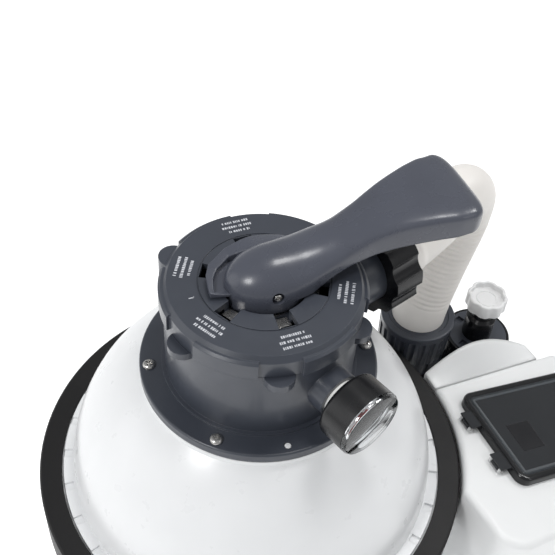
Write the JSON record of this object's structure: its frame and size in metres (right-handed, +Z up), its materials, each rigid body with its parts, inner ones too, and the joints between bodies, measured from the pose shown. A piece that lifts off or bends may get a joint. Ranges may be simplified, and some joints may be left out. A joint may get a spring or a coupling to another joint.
{
  "type": "sand filter tank",
  "caption": "Free-standing pool sand filter: domed round tank, top multiport valve with lever handle and pressure gauge, joined by a short moulded hose to a circulation pump on one base.",
  "frame": {"origin": "on the tank's axis at the floor, in the underside of the middle foot", "axes": "+Z up along the tank's axis, +X from the tank to the pump, +Y to the side of the strainer and the hose"},
  "size_m": [0.5165, 0.3755, 0.6404],
  "materials": {
    "grey_plastic": "satin moulded",
    "rubber_black": "matt",
    "white_tank": "smooth moulded, soft gloss",
    "white_pvc": "satin",
    "black_plastic": "satin moulded",
    "band_black": "matt",
    "stainless": "brushed",
    "slate_plastic": "fine moulded texture",
    "slate_gloss": "semi-gloss",
    "white_hose": "soft satin",
    "brass": "turned",
    "gauge_black": "semi-gloss",
    "dial_white": "printed",
    "needle_red": "painted",
    "clear_lens": "clear",
    "white_cap": "soft gloss",
    "motor_metal": "painted",
    "white_housing": "satin gloss",
    "panel_dark": "matt",
    "display_dark": "gloss",
    "smoke_cover": "smoked, translucent",
    "button_grey": "matt"
  },
  "bodies": {
    "unit": {"base_tray": "grey_plastic", "base_feet": "rubber_black", "tank_body": "white_tank", "tank_dome": "white_tank", "dome_seal": "rubber_black", "clamp_band": "band_black", "clamp_bolt": "stainless", "center_pipe": "white_pvc", "lateral_hub": "white_pvc", "laterals": "white_pvc", "top_diffuser": "white_pvc", "valve_gasket": "rubber_black", "valve_body": "slate_plastic", "flange_screws": "stainless", "spider_gasket": "rubber_black", "valve_cover": "slate_plastic", "cover_oring": "rubber_black", "rotor_spring": "stainless", "port_oring": "rubber_black", "interconnect_hose": "white_hose", "gauge_washer": "white_pvc", "gauge_stem": "brass", "gauge_case": "gauge_black", "gauge_dial": "dial_white", "gauge_lens": "clear_lens", "pump_casing": "slate_plastic", "casing_cover": "slate_plastic", "strainer_basket": "white_pvc", "lid_oring": "rubber_black", "strainer_lid": "slate_plastic", "vent_valve": "black_plastic", "motor_stator": "motor_metal", "shaft_seal": "rubber_black", "housing_upper": "white_housing", "housing_lower": "white_housing", "cord_gland": "rubber_black", "timer_panel": "panel_dark", "timer_display": "display_dark", "cover_hinge_pins": "stainless"},
    "handle_base": {"thrust_washer": "stainless"},
    "rotor": {"rotor": "black_plastic", "rotor_stem": "slate_plastic", "handle_pin": "stainless"},
    "handle": {"handle": "slate_gloss"},
    "waste_plug": {"waste_plug": "black_plastic"},
    "drain_plug": {"drain_plug": "black_plastic"},
    "clamp_knob": {"clamp_knob": "black_plastic"},
    "port_union_nut": {"port_union_nut": "black_plastic"},
    "outlet_union_nut": {"outlet_union_nut": "slate_plastic"},
    "gauge_needle": {"gauge_needle": "needle_red"},
    "vent_cap": {"vent_cap": "white_cap"},
    "strainer_lock_ring": {"lid_ring": "black_plastic"},
    "motor_rotor": {"motor_shaft": "stainless", "impeller": "black_plastic"},
    "timer_cover": {"timer_cover": "smoke_cover"},
    "power_button": {"power_button": "button_grey"},
    "timer_button": {"timer_button": "button_grey"},
    "mode_button": {"mode_button": "button_grey"},
    "lock_button": {"lock_button": "button_grey"}
  },
  "joints": [
    {"name": "valve_turn", "type": "hinge", "parent": "unit", "child": "handle_base", "pos_m": [0, 0, 0.579], "axis": [0, 0, 1], "continuous": true},
    {"name": "rotor_lift", "type": "slide", "parent": "handle_base", "child": "rotor", "axis": [0, 0, 1], "range_m": [0, 0.0046], "deforming": ["rotor_spring"]},
    {"name": "handle_press", "type": "hinge", "parent": "rotor", "child": "handle", "pos_m": [0, 0, 0.5965], "axis": [0.1149, 0.9934, 0], "range_deg": [0, 10], "stiffness_Nm_per_rad": 6, "springref_deg": -6.88},
    {"name": "drain_plug_turn", "type": "hinge", "parent": "unit", "child": "drain_plug", "pos_m": [0, -0.15, 0.084], "axis": [0, -1, 0], "continuous": true},
    {"name": "clamp_knob_turn", "type": "hinge", "parent": "unit", "child": "clamp_knob", "pos_m": [-0.0958, -0.15943, 0.37], "axis": [0.8572, -0.515, 0], "continuous": true},
    {"name": "waste_plug_turn", "type": "hinge", "parent": "unit", "child": "waste_plug", "pos_m": [0, 0.078, 0.537], "axis": [0, 1, 0], "continuous": true},
    {"name": "port_nut_turn", "type": "hinge", "parent": "unit", "child": "port_union_nut", "pos_m": [0.10798, 0.02099, 0.54], "axis": [0.9816, 0.1908, 0], "continuous": true},
    {"name": "outlet_nut_turn", "type": "hinge", "parent": "unit", "child": "outlet_union_nut", "pos_m": [0.2005, 0.0547, 0.38], "axis": [0, 0, 1], "continuous": true},
    {"name": "gauge_needle_turn", "type": "hinge", "parent": "unit", "child": "gauge_needle", "pos_m": [0.0225, -0.09744, 0.544], "axis": [0.225, -0.9744, 0], "range_deg": [-270, 0]},
    {"name": "vent_cap_turn", "type": "hinge", "parent": "unit", "child": "vent_cap", "pos_m": [0.2642, 0.036, 0.405], "axis": [0, 0, 1], "continuous": true},
    {"name": "strainer_ring_turn", "type": "hinge", "parent": "unit", "child": "strainer_lock_ring", "pos_m": [0.2646, 0.0352, 0.35], "axis": [0, 0, 1], "continuous": true},
    {"name": "motor_spin", "type": "hinge", "parent": "unit", "child": "motor_rotor", "pos_m": [0.243, 0, 0.15], "axis": [0, 1, 0], "continuous": true},
    {"name": "timer_cover_open", "type": "hinge", "parent": "unit", "child": "timer_cover", "pos_m": [0.1736, -0.08231, 0.39296], "axis": [-0.0652, -0.9978, 0.0121], "range_deg": [0, 100]},
    {"name": "power_button_press", "type": "slide", "parent": "unit", "child": "power_button", "axis": [-0.1822, 0, -0.9833], "range_m": [0, 0.001], "stiffness_N_per_m": 900, "springref_m": -0.0008},
    {"name": "timer_button_press", "type": "slide", "parent": "unit", "child": "timer_button", "axis": [-0.1822, 0, -0.9833], "range_m": [0, 0.001], "stiffness_N_per_m": 900, "springref_m": -0.0008},
    {"name": "mode_button_press", "type": "slide", "parent": "unit", "child": "mode_button", "axis": [-0.1822, 0, -0.9833], "range_m": [0, 0.001], "stiffness_N_per_m": 900, "springref_m": -0.0008},
    {"name": "lock_button_press", "type": "slide", "parent": "unit", "child": "lock_button", "axis": [-0.1822, 0, -0.9833], "range_m": [0, 0.001], "stiffness_N_per_m": 900, "springref_m": -0.0008}
  ],
  "couplings": [
    {"joint": "rotor_lift", "follows": "handle_press", "m_per_rad": 0.026356}
  ]
}
